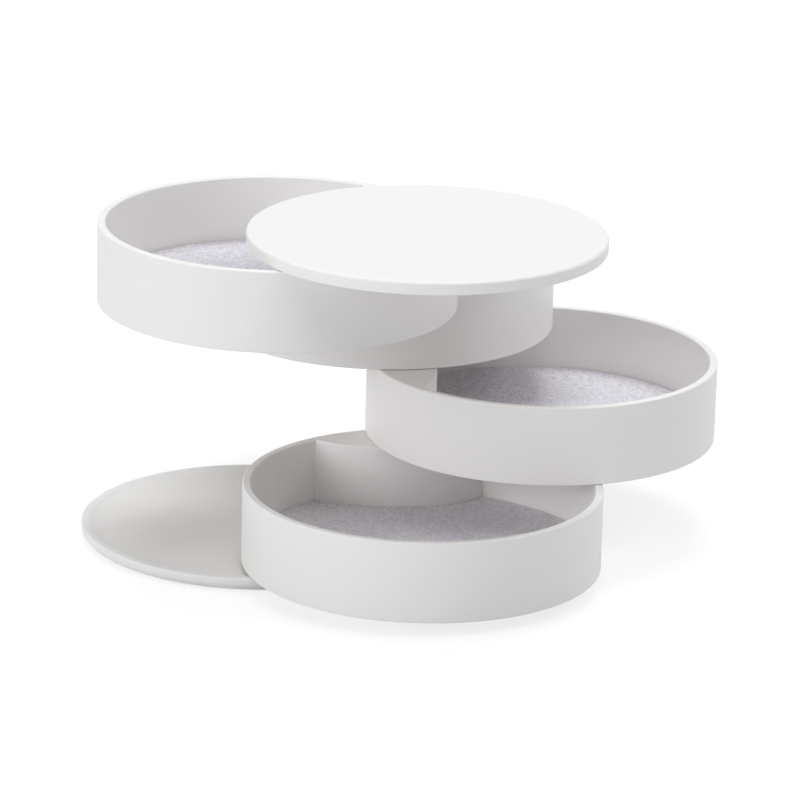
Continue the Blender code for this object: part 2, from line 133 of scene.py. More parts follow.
class Corner(Enum):
    """How a profile turns at a rounded corner: the angles where the rounding starts and ends."""

    UPPER_OUTER = (90.0, 0.0)
    LOWER_OUTER = (0.0, -90.0)
    UPPER_INNER = (180.0, 90.0)
    FLOOR_INNER = (-90.0, 0.0)


# Shader nodes


class Signal:
    """A node's output that takes part in Python arithmetic. Each operator adds a Math node."""

    def __init__(self, board: Board, socket: bpy.types.NodeSocket) -> None:
        """Wrap an output socket of one of the board's nodes."""
        self.board = board
        self.socket = socket

    def maths(self, operation: str, first: Operand, second: Operand) -> Signal:
        """Return the result of a new Math node, with an operation such as "MULTIPLY"."""
        return self.board.node("ShaderNodeMath", {"operation": operation}, {0: first, 1: second})

    def __add__(self, other: Operand) -> Signal:
        """Return self + other."""
        return self.maths("ADD", self, other)

    def __radd__(self, other: Operand) -> Signal:
        """Return other + self."""
        return self.maths("ADD", other, self)

    def __sub__(self, other: Operand) -> Signal:
        """Return self - other."""
        return self.maths("SUBTRACT", self, other)

    def __rsub__(self, other: Operand) -> Signal:
        """Return other - self."""
        return self.maths("SUBTRACT", other, self)

    def __mul__(self, other: Operand) -> Signal:
        """Return self * other."""
        return self.maths("MULTIPLY", self, other)

    def __rmul__(self, other: Operand) -> Signal:
        """Return other * self."""
        return self.maths("MULTIPLY", other, self)

    def or_more(self, other: Operand) -> Signal:
        """Return the larger of self and other."""
        return self.maths("MAXIMUM", self, other)


Operand = Signal | float


class Board:
    """The nodes of one material or world."""

    def __init__(self, owner: bpy.types.Material | bpy.types.World) -> None:
        """Start with an empty board.

        Args:
            owner: The material or world.
        """
        owner.use_nodes = True
        self.tree = owner.node_tree
        self.tree.nodes.clear()

    def node(
        self,
        kind: str,
        settings: dict[str, Any] | None = None,
        inputs: dict[str | int, Any] | None = None,
        output: str | int = 0,
    ) -> Signal:
        """Add a node.

        Args:
            kind: The node's type.
            settings: Its settings by name, which are set first.
            inputs: Values or outputs for its sockets, by name or number.
            output: Name or number of the output that is wanted.

        Returns:
            That output.
        """
        made = self.tree.nodes.new(kind)
        for name, value in (settings or {}).items():
            setattr(made, name, value)
        for name, value in (inputs or {}).items():
            socket = made.inputs[name]
            if isinstance(value, Signal):
                self.tree.links.new(value.socket, socket)
            elif socket.type == "RGBA":
                socket.default_value = (*value, 1.0)
            else:
                socket.default_value = value
        return Signal(self, made.outputs[output])

    def show(self, kind: str, shader: Signal) -> None:
        """Add an output node of a kind, and join a shader to it."""
        made = self.tree.nodes.new(kind)
        self.tree.links.new(shader.socket, made.inputs["Surface"])

    def place(self) -> Signal:
        """Return the piece's own coordinates, in metres."""
        return self.node("ShaderNodeTexCoord", output="Object")

    def lumps(self, place: Signal, size: float, detail: float = 2.0) -> Signal:
        """Return a noise pattern, 0.5 on average, whose lumps lie size apart, with some finer layers."""
        inputs = {"Vector": place, "Scale": 1.0 / size, "Detail": detail}
        return self.node("ShaderNodeTexNoise", inputs=inputs)

    def streaks(
        self, place: Signal, turns_deg: tuple[float, ...], size: Size, detail: float = 2.0
    ) -> Signal:
        """Add a stretched noise pattern that lies several ways.

        Args:
            place: Coordinates that the pattern is read at.
            turns_deg: Turn of each way about the upright axis.
            size: How far its lumps lie apart along each turned axis.
            detail: How many finer layers it has.

        Returns:
            The highest value of all the ways.
        """
        ways = []
        for turn_deg in turns_deg:
            turn = (0.0, 0.0, math.radians(turn_deg))
            inputs = {"Vector": place, "Rotation": turn, "Scale": size}
            laid = self.node("ShaderNodeMapping", {"vector_type": "TEXTURE"}, inputs)
            ways.append(self.lumps(laid, 1.0, detail))
        return reduce(Signal.or_more, ways)

    def between(self, value: Signal, low: float, high: float) -> Signal:
        """Return the share that a value has gone from low to high, eased at both ends."""
        inputs = {"Value": value, "From Min": low, "From Max": high}
        return self.node("ShaderNodeMapRange", {"interpolation_type": "SMOOTHSTEP"}, inputs)

    def mix(self, share: Operand, first: Signal | Colour, second: Signal | Colour) -> Signal:
        """Return a colour that goes from the first to the second as share goes from 0 to 1."""
        return self.node("ShaderNodeMix", {"data_type": "RGBA"}, {0: share, 6: first, 7: second}, 2)

    def bump(self, height: Signal, depth: float) -> Signal:
        """Return a surface normal that is tilted by a height pattern whose 1 stands depth high."""
        return self.node("ShaderNodeBump", inputs={"Height": height, "Distance": depth})

    def surface(self, inputs: dict[str | int, Any]) -> None:
        """Add the shader with these sockets, and make it the material's surface."""
        shader = self.node("ShaderNodeBsdfPrincipled", inputs=inputs)
        self.show("ShaderNodeOutputMaterial", shader)


# Finishes


@dataclass(frozen=True)
class MouldedPlastic:
    """Satin white moulding with a faint orange peel, fine spark texture and light handling marks."""

    colour: Colour = (0.957, 0.924, 0.897)
    thin_colour: Colour = (0.945, 0.912, 0.885)
    roughness: float = 0.43
    specular: float = 0.35
    cloud_size: float = 46.0 * MM
    cloud_spread: float = 0.07
    peel_size: float = 3.2 * MM
    peel_depth: float = 0.010 * MM
    grain_size: float = 0.45 * MM
    grain_detail: float = 1.0
    grain_share: float = 0.10
    mark_size: Size = (14.0 * MM, 0.22 * MM, 14.0 * MM)
    mark_turns_deg: tuple[float, ...] = (17.0, 74.0, 131.0)
    mark_limits: Pair = (0.70, 0.80)
    mark_spread: float = 0.10

    def paint(self, board: Board) -> None:
        """Add the finish's nodes.

        Args:
            board: The material's empty board.
        """
        place = board.place()
        cloud = board.lumps(place, self.cloud_size)
        streaks = board.streaks(place, self.mark_turns_deg, self.mark_size)
        marks = board.between(streaks, *self.mark_limits) * self.mark_spread
        grain = board.lumps(place, self.grain_size, self.grain_detail)
        height = board.lumps(place, self.peel_size) + grain * self.grain_share
        board.surface(
            {
                "Base Color": board.mix(cloud, self.thin_colour, self.colour),
                "Roughness": self.roughness + (cloud - PATTERN_MEAN) * self.cloud_spread + marks,
                "Normal": board.bump(height, self.peel_depth),
                "Specular IOR Level": self.specular,
            }
        )


@dataclass(frozen=True)
class NeedledFelt:
    """Lavender grey needled felt: short fibres that lie every way, over soft tufts, with painted shade in
    the hollows of the pile.
    """

    # The deep colour is painted shade for the hollows of the pile, where the tufts are low.
    deep: Colour = (0.605, 0.557, 0.605)
    body: Colour = (0.758, 0.712, 0.764)
    strand: Colour = (0.94, 0.90, 0.942)
    strand_size: Size = (2.2 * MM, 0.48 * MM, 2.2 * MM)
    strand_turns_deg: tuple[float, ...] = (8.0, 41.0, 78.0, 112.0, 149.0)
    strand_limits: Pair = (0.58, 0.66)
    strand_detail: float = 1.0
    strand_height: float = 0.5
    tuft_size: float = 1.1 * MM
    tuft_detail: float = 3.0
    tuft_share: float = 0.7
    tuft_height: float = 0.5
    cloud_size: float = 21.0 * MM
    cloud_share: float = 0.3
    hollow_shade_limits: Pair = (0.33, 0.50)
    roughness: float = 0.93
    roughness_spread: float = 0.10
    pile_depth: float = 0.22 * MM
    specular: float = 0.2
    sheen: float = 0.25
    sheen_roughness: float = 0.6

    def paint(self, board: Board) -> None:
        """Add the finish's nodes.

        Args:
            board: The material's empty board.
        """
        place = board.place()
        fibres = board.streaks(place, self.strand_turns_deg, self.strand_size, self.strand_detail)
        strands = board.between(fibres, *self.strand_limits)
        tufts = board.lumps(place, self.tuft_size, self.tuft_detail)
        cloud = board.lumps(place, self.cloud_size)
        # Painted shade: the colour goes to the deep tone where the tufts are low, and partly at random with
        # the broad cloud.
        closed = board.between(tufts * self.tuft_share + cloud * self.cloud_share, *self.hollow_shade_limits)
        ground = board.mix(closed, self.deep, self.body)
        height = tufts * self.tuft_height + strands * self.strand_height
        board.surface(
            {
                "Base Color": board.mix(strands, ground, self.strand),
                "Roughness": self.roughness - strands * self.roughness_spread,
                "Normal": board.bump(height, self.pile_depth),
                "Specular IOR Level": self.specular,
                "Sheen Weight": self.sheen,
                "Sheen Roughness": self.sheen_roughness,
            }
        )


@dataclass(frozen=True)
class TurnedSteel:
    """Plain steel with the fine rings that turning leaves about the pivot."""

    colour: Colour = (0.64, 0.64, 0.65)
    dull: Colour = (0.50, 0.49, 0.48)
    roughness: float = 0.26
    ring_pitch: float = 0.3 * MM
    ring_waver: float = 0.6
    ring_depth: float = 0.002 * MM
    ring_spread: float = 0.05
    stain_size: float = 3.0 * MM
    stain_detail: float = 4.0
    stain_limits: Pair = (0.45, 0.75)
    stain_spread: float = 0.18

    def paint(self, board: Board) -> None:
        """Add the finish's nodes.

        Args:
            board: The material's empty board.
        """
        place = board.place()
        scale = math.tau / (WAVE_RATE * self.ring_pitch)
        rings = board.node(
            "ShaderNodeTexWave",
            {"wave_type": "RINGS", "rings_direction": "Z"},
            {"Vector": place, "Scale": scale, "Distortion": self.ring_waver},
            "Fac",
        )
        stain = board.between(board.lumps(place, self.stain_size, self.stain_detail), *self.stain_limits)
        board.surface(
            {
                "Base Color": board.mix(stain, self.colour, self.dull),
                "Metallic": 1.0,
                "Roughness": self.roughness + stain * self.stain_spread + rings * self.ring_spread,
                "Normal": board.bump(rings, self.ring_depth),
            }
        )


@dataclass(frozen=True)
class BearingPlastic:
    """Natural bearing plastic, slightly waxy and mottled."""

    colour: Colour = (0.74, 0.735, 0.70)
    shade: Colour = (0.66, 0.655, 0.62)
    roughness: float = 0.42
    mottle_size: float = 2.4 * MM
    mottle_detail: float = 3.0
    mottle_depth: float = 0.01 * MM
    mottle_spread: float = 0.2

    def paint(self, board: Board) -> None:
        """Add the finish's nodes.

        Args:
            board: The material's empty board.
        """
        mottle = board.lumps(board.place(), self.mottle_size, self.mottle_detail)
        board.surface(
            {
                "Base Color": board.mix(mottle, self.shade, self.colour),
                "Roughness": self.roughness + (mottle - PATTERN_MEAN) * self.mottle_spread,
                "Normal": board.bump(mottle, self.mottle_depth),
            }
        )


@dataclass(frozen=True)
class PadRubber:
    """Matt grey non-slip sheet with a fine raised dot pattern and a little dust."""

    colour: Colour = (0.27, 0.27, 0.28)
    dust: Colour = (0.42, 0.41, 0.40)
    roughness: float = 0.82
    dot_pitch: float = 1.6 * MM
    dot_limits: Pair = (0.2, 0.42)
    dot_depth: float = 0.12 * MM
    dot_spread: float = 0.08
    dust_size: float = 9.0 * MM
    dust_detail: float = 5.0
    dust_limits: Pair = (0.48, 0.72)
    dust_share: float = 0.5
    dust_spread: float = 0.12

    def paint(self, board: Board) -> None:
        """Add the finish's nodes.

        Args:
            board: The material's empty board.
        """
        place = board.place()
        inputs = {"Vector": place, "Scale": 1.0 / self.dot_pitch, "Randomness": 0.0}
        cells = board.node("ShaderNodeTexVoronoi", inputs=inputs)
        dots = 1.0 - board.between(cells, *self.dot_limits)
        dust = board.between(board.lumps(place, self.dust_size, self.dust_detail), *self.dust_limits)
        board.surface(
            {
                "Base Color": board.mix(dust * self.dust_share, self.colour, self.dust),
                "Roughness": self.roughness + dust * self.dust_spread - dots * self.dot_spread,
                "Normal": board.bump(dots, self.dot_depth),
            }
        )


# Shapes


def arc(centre: Pair, radius: float, start_deg: float, end_deg: float, steps: int) -> list[Pair]:
    """Work out points along an arc.

    Args:
        centre: Centre of the arc.
        radius: Its radius.
        start_deg: Angle of the first point.
        end_deg: Angle of the last point.
        steps: Number of steps between them.

    Returns:
        The points, both ends included.
    """
    points = []
    for i in range(steps + 1):
        angle = math.radians(start_deg + (end_deg - start_deg) * i / steps)
        points.append((centre[0] + radius * math.cos(angle), centre[1] + radius * math.sin(angle)))
    return points


def rounded(corner: Pair, radius: float, how: Corner, steps: int) -> list[Pair]:
    """Round off a square corner of a profile.

    Args:
        corner: Radius and height at which the corner would be.
        radius: Radius of the rounding.
        how: Which way the profile turns there.
        steps: Number of steps along the rounding.

    Returns:
        Its points, both ends included.
    """
    start, end = (math.radians(angle) for angle in how.value)
    x = corner[0] - radius * (math.cos(start) + math.cos(end))
    y = corner[1] - radius * (math.sin(start) + math.sin(end))
    return arc((x, y), radius, *how.value, steps)


def directions(steps: int) -> list[float]:
    """Return the directions of one whole turn, in equal steps."""
    return [math.tau * i / steps for i in range(steps)]


def skin(shape: Shape, rings: list[Ring]) -> None:
    """Add the faces between each ring of corners and the next.

    Args:
        shape: The shape that the corners belong to.
        rings: Rings of one count. A ring of one repeated corner is a point.
    """
    for upper, lower in zip(rings, rings[1:]):
        for i in range(len(upper)):
            following = (i + 1) % len(upper)
            shape.faces.new(dict.fromkeys([upper[i], lower[i], lower[following], upper[following]]))


def add_piece(shape: Shape) -> Piece:
    """Turn a shape into a piece of the scene, and free the shape.

    Args:
        shape: The shape, whose faces are set to point outwards here.

    Returns:
        The piece, which has no name of its own yet.
    """
    bmesh.ops.recalc_face_normals(shape, faces=shape.faces)
    mesh = bpy.data.meshes.new("shape")
    shape.to_mesh(mesh)
    shape.free()
    made = bpy.data.objects.new("shape", mesh)
    bpy.context.scene.collection.objects.link(made)
    return made


def turned(profile: list[Pair], steps: int, centre_x: float = 0.0) -> Piece:
    """Turn a profile about an upright axis.

    Args:
        profile: Radius and height of each point. It is closed, or starts and ends on the axis.
        steps: Number of steps round the axis.
        centre_x: Where the axis stands.

    Returns:
        The piece.
    """
    shape = bmesh.new()
    rings = []
    for radius, height in profile:
        turns = directions(steps if radius > 0.0 else 1)
        corners = [(centre_x + radius * math.cos(a), radius * math.sin(a), height) for a in turns]
        rings.append([shape.verts.new(corner) for corner in corners] * (steps // len(turns)))
    if profile[0][0] > 0.0:
        rings.append(rings[0])
    skin(shape, rings)
    return add_piece(shape)


def post(radius: float, low: float, high: float, steps: int) -> Piece:
    """Return a new upright bar about the pivot, round or with a few sides, by its number of steps."""
    return turned([(0.0, high), (radius, high), (radius, low), (0.0, low)], steps)


def prism(outline: list[Pair], low: float, high: float) -> Piece:
    """Make an upright solid from a flat outline.

    Args:
        outline: Its points in order, x and y.
        low: Height of its underside.
        high: Height of its top.

    Returns:
        The piece.
    """
    shape = bmesh.new()
    face = shape.faces.new([shape.verts.new((x, y, low)) for x, y in outline])
    raised = bmesh.ops.extrude_face_region(shape, geom=[face])["geom"]
    top = [item for item in raised if isinstance(item, bmesh.types.BMVert)]
    bmesh.ops.translate(shape, verts=top, vec=(0.0, 0.0, high - low))
    return add_piece(shape)


def block(size: Size, centre_z: float) -> Piece:
    """Make a box on the pivot axis.

    Args:
        size: Its size along X, Y and Z.
        centre_z: Height of its centre.

    Returns:
        The piece.
    """
    shape = bmesh.new()
    bmesh.ops.create_cube(shape, size=1.0)
    bmesh.ops.scale(shape, verts=shape.verts, vec=size)
    bmesh.ops.translate(shape, verts=shape.verts, vec=(0.0, 0.0, centre_z))
    return add_piece(shape)


def work(piece: Piece, tool: Piece, how: Work) -> None:
    """Join a tool shape to a piece, or cut it away, and remove the tool.

    Args:
        piece: The piece that is changed.
        tool: The tool shape.
        how: Whether it is joined or cut away.
    """
    modifier = piece.modifiers.new("work", "BOOLEAN")
    modifier.operation = how.value
    modifier.solver = "EXACT"
    modifier.object = tool
    graph = bpy.context.evaluated_depsgraph_get()
    mesh = bpy.data.meshes.new_from_object(piece.evaluated_get(graph))
    piece.modifiers.clear()
    piece.data = mesh
    bpy.data.objects.remove(tool, do_unlink=True)


def smooth(piece: Piece) -> None:
    """Weld a piece, and shade it smooth with sharp corners and normals weighted by area.

    Args:
        piece: The piece.
    """
    shape = bmesh.new()
    shape.from_mesh(piece.data)
    bmesh.ops.remove_doubles(shape, verts=shape.verts, dist=WELD)
    bmesh.ops.dissolve_degenerate(shape, edges=shape.edges, dist=WELD)
    shape.to_mesh(piece.data)
    shape.free()
    piece.data.shade_smooth()
    piece.data.set_sharp_from_angle(angle=math.radians(SHARP_DEG))
    weighted = piece.modifiers.new("weighted_normals", "WEIGHTED_NORMAL")
    weighted.keep_sharp = True


# Sub-assemblies


@dataclass(frozen=True)
class Outline:
    """The round outline that every tier shares, with the lens of the pivot housing at one side."""

    disc_radius: float = 57.5 * MM
    pivot_to_edge: float = 10.4 * MM
    front: float = 10.4 * MM
    front_radius: float = 42.5 * MM
    disc_steps: int = 288
    front_steps: int = 64
    edge_steps: int = 5
    broad_steps: int = 7

    @property
    def offset(self) -> float:
        """Distance from the pivot to the disc's centre."""
        return self.disc_radius - self.pivot_to_edge

    @property
    def front_centre(self) -> float:
        """Where the centre of the housing's front arc lies along X."""
        return self.front - self.front_radius

    def lens(self, rear_radius: float, inset: float = 0.0, cut: float = math.inf) -> list[Pair]:
        """Draw the lens between the housing's front and a circle about the disc's centre.

        Args:
            rear_radius: Radius of the circle.
            inset: How far inside the housing's front the lens begins.
            cut: Half width at which it is cut off, if that is before its ends.

        Returns:
            The outline's points.
        """
        front_radius = self.front_radius - inset
        distance = self.offset - self.front_centre
        along = (front_radius**2 - rear_radius**2 + distance**2) / (2 * distance)
        reach = min(cut, math.sqrt(front_radius**2 - along**2))
        front_deg = math.degrees(math.asin(reach / front_radius))
        rear_deg = math.degrees(math.asin(reach / rear_radius))
        front = arc((self.front_centre, 0.0), front_radius, -front_deg, front_deg, self.front_steps)
        rear = arc((self.offset, 0.0), rear_radius, 180.0 - rear_deg, 180.0 + rear_deg, self.front_steps)
        meets = abs(front[-1][0] - rear[0][0]) < WELD
        return front + (rear[1:-1] if meets else rear)

    def housing(self, low: float, high: float, lap_radius: float, edge: float) -> Piece:
        """Make the lens-shaped block round the pivot, with the upper edge of its front rounded.

        Args:
            low: Height of its underside.
            high: Height of its top.
            lap_radius: Radius, in the disc's wall, at which the block ends.
            edge: Radius of the rounded edge.

        Returns:
            The piece.
        """
        made = prism(self.lens(lap_radius), low, high)
        shape = bmesh.new()
        shape.from_mesh(made.data)
        front_edges = [
            line
            for line in shape.edges
            if all(
                abs(vert.co.z - high) < WELD
                and abs(math.hypot(vert.co.x - self.front_centre, vert.co.y) - self.front_radius) < WELD
                for vert in line.verts
            )
        ]
        bmesh.ops.bevel(
            shape, geom=front_edges, offset=edge, segments=self.edge_steps, profile=0.5, affect="EDGES"
        )
        shape.to_mesh(made.data)
        shape.free()
        return made


@dataclass
class Tier:
    """A sub-assembly that swings about the pivot as one body.

    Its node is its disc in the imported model. It is swung to the node's angle, and stands on the height
    of the node's underside or, from the ground, on z = 0.
    """

    body: str
    node: str
    materials: dict[Slot, bpy.types.Material]
    from_ground: bool = False
    outline: Outline = field(default_factory=Outline)

    @property
    def seat(self) -> Matrix:
        """Work out where the tier stands.

        Returns:
            The move from the tier's own place to its place in the frame.
        """
        low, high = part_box(self.node)
        centre = (low + high) / 2
        swing = Matrix.Rotation(math.atan2(centre.y, centre.x), 4, "Z")
        return swing if self.from_ground else Matrix.Translation((0.0, 0.0, low.z)) @ swing

    def hand_over(self, piece: Piece, name: str, slot: Slot, *nodes: str) -> None:
        """Name a piece, and put it in its place in the frame, in its finish, and on its body.

        Args:
            piece: The piece, in the tier's own place.
            name: Its name.
            slot: The slot that it takes its finish from.
            nodes: The nodes that it stands for.
        """
        piece.name = name
        piece.data.name = name
        piece.data.transform(self.seat)
        piece.data.materials.clear()
        piece.data.materials.append(self.materials[slot])
        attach(piece, self.body)
        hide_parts(*nodes)
        log.info("%s rides on %s in %s", name, self.body, slot.value)

    def finish_node(self, frame: dict[str, Any], node: str, slot: Slot) -> None:
        """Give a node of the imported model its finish, in the slots that it has.

        Args:
            frame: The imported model.
            node: The node's name.
            slot: The slot that it takes its finish from.
        """
        for holder in frame["nodes"][node].material_slots:
            holder.material = self.materials[slot]
        log.info("%s keeps its solid", node)


@dataclass
class Lid(Tier):
    """The plain round lid, hollowed underneath, with a land that traps the shaft's head."""

    radius: float = 56.8 * MM
    thickness: float = 4.0 * MM
    upper_round: float = 1.0 * MM
    lower_round: float = 0.4 * MM
    recess: float = 1.2 * MM
    skirt: float = 3.4 * MM
    skirt_drop: float = 0.15 * MM
    head_radius: float = 8.3 * MM
    head_room: Pair = (1.1 * MM, 3.0 * MM)
    shaft_room: float = 4.3 * MM
    hex_sides: int = 6
    round_steps: int = 48

    def build(self) -> Piece:
        """Build the lid's moulding.

        Returns:
            The piece.
        """
        shared = self.outline
        brim = (self.radius, self.thickness)
        foot = (self.radius, -self.skirt_drop)
        profile = [
            (0.0, self.thickness),
            *rounded(brim, self.upper_round, Corner.UPPER_OUTER, shared.broad_steps),
            *rounded(foot, self.lower_round, Corner.LOWER_OUTER, shared.edge_steps),
            (self.radius - self.skirt, -self.skirt_drop),
            (self.radius - self.skirt, self.recess),
            (0.0, self.recess),
        ]
        disc = turned(profile, shared.disc_steps, shared.offset)
        lap_radius = self.radius - (self.skirt + self.lower_round) / 2
        work(disc, prism(shared.lens(lap_radius), 0.0, self.thickness / 2), Work.JOIN)
        low, high = self.head_room
        work(disc, post(self.head_radius, low, high, self.hex_sides), Work.CUT)
        work(disc, post(self.shaft_room, -low, high, self.round_steps), Work.CUT)
        smooth(disc)
        return disc

    def dress(self) -> None:
        """Build the lid and put it in place of its node."""
        self.hand_over(self.build(), "lid_moulding", Slot.WHITE_PLASTIC, self.node)


@dataclass
class Liner:
    """A felt liner: a disc with a bite for the housing, needled, cut by hand and laid loose.

    It fits the inner radius of a tray's wall and the height of its floor. Its waves are read at the seed.
    """

    outline: Outline
    wall_radius: float
    floor: float
    seed: Vector
    rim_gap: float = 0.2 * MM
    bite_gap: float = 0.2 * MM
    lift: float = 0.02 * MM
    thickness: float = 1.38 * MM
    corner_ease: float = 0.55 * MM
    ring_pitch: float = 0.95 * MM
    edge_shares: tuple[float, ...] = (0.62, 0.38, 0.2, 0.07, 0.0)
    edge_width: float = 0.8 * MM
    edge_drop: float = 0.3 * MM
    sharp_deg: float = 70.0
    turn_steps: int = 480
    cut_wave: float = 0.10 * MM
    cut_wave_size: float = 6.0 * MM
    broad_wave: float = 0.12 * MM
    broad_size: float = 17.0 * MM
    tuft_wave: float = 0.07 * MM
    tuft_size: float = 2.1 * MM
    ride_up: float = 1.1 * MM
    ride_width: float = 3.0 * MM
    ride_middle: float = -8.0 * MM
    ride_span: float = 15.0 * MM
    ride_power: int = 4

    def reaches(self, seed: Vector) -> list[float]:
        """Work out how far the liner reaches from the disc's centre.

        Args:
            seed: Where the waves of the cut are read.

        Returns:
            The distance in each direction.
        """
        rim = self.wall_radius - self.rim_gap
        bite = self.outline.front_radius + self.bite_gap
        distance = self.outline.offset - self.outline.front_centre
        made = []
        for turn in directions(self.turn_steps):
            towards = -distance * math.cos(turn)
            inside = towards**2 - distance**2 + bite**2
            straight = towards - math.sqrt(inside) if towards > 0.0 and inside > 0.0 else 2 * rim
            near, far = sorted((rim, straight))
            eased = near - self.corner_ease * math.log1p(math.exp((near - far) / self.corner_ease))
            spot = Vector((math.cos(turn), math.sin(turn), 0.0)) * rim / self.cut_wave_size
            made.append(eased + self.cut_wave * noise.noise(spot + seed))
        return made

    def height(self, x: float, y: float) -> float:
        """Work out how high the needled face stands above its mean level at a point.

        The liner is cut a little full, so it rides up the middle of the housing's front.

        Args:
            x: Distance from the disc's centre, away from the pivot.
            y: Distance from the line through the pivot.

        Returns:
            The height.
        """
        spot = Vector((x, y, 0.0))
        broad = noise.noise(spot / self.broad_size + self.seed)
        tuft = noise.noise(spot / self.tuft_size - self.seed)
        from_centre = math.hypot(self.outline.offset + x - self.outline.front_centre, y)
        from_front = from_centre - self.outline.front_radius
        near = math.exp(-max(from_front, 0.0) / self.ride_width)
        middle = math.exp(-(((y - self.ride_middle) / self.ride_span) ** self.ride_power))
        return self.broad_wave * broad + self.tuft_wave * tuft + self.ride_up * near * middle

    def ring(self, shape: Shape, distances: list[float], drop: float | None) -> Ring:
        """Add one ring of corners.

        Args:
            shape: The shape that it is part of.
            distances: How far it lies from the disc's centre in each direction.
            drop: How far it lies below the face's mean level, or None for the foot of the edge.

        Returns:
            Its corners.
        """
        foot = self.floor + self.lift
        made = []
        for turn, far in zip(directions(self.turn_steps), distances):
            x = far * math.cos(turn)
            y = far * math.sin(turn)
            z = foot if drop is None else foot + self.thickness + (self.height(x, y) - drop)
            made.append(shape.verts.new((self.outline.offset + x, y, z)))
        return made

    def build(self) -> Piece:
        """Make the liner.

        Returns:
            The piece.
        """
        reaches = self.reaches(self.seed)
        inner_count = round((self.wall_radius - self.edge_width) / self.ring_pitch)
        shape = bmesh.new()
        rings = [self.ring(shape, [0.0], 0.0) * self.turn_steps]
        for i in range(1, inner_count + 1):
            inner = [(far - self.edge_width) * i / inner_count for far in reaches]
            rings.append(self.ring(shape, inner, 0.0))
        for share in self.edge_shares:
            drop = self.edge_drop * (1.0 - math.sqrt(1.0 - (1.0 - share) ** 2))
            rings.append(self.ring(shape, [far - self.edge_width * share for far in reaches], drop))
        rings.append(self.ring(shape, reaches, None))
        skin(shape, rings)
        shape.faces.new(rings[-1])
        made = add_piece(shape)
        made.data.shade_smooth()
        made.data.set_sharp_from_angle(angle=math.radians(self.sharp_deg))
        return made

    def declare(self, liner: Piece) -> None:
        """Args:
            liner: The liner.
        """
        reaches = self.reaches(Vector((0.0, 0.0, 0.0)))
        turns = directions(self.turn_steps)
        points = [(far * math.cos(turn), far * math.sin(turn)) for turn, far in zip(turns, reaches)]
        width, length = (max(row) - min(row) for row in zip(*points))
        step = math.sin(math.tau / self.turn_steps) / 2
        area = sum(near * far * step for near, far in zip(reaches, reaches[1:] + reaches[:1]))
        log.info("%s is cut to %.1f x %.1f mm, %.0f mm2", liner.name, width / MM, length / MM, area / MM**2)


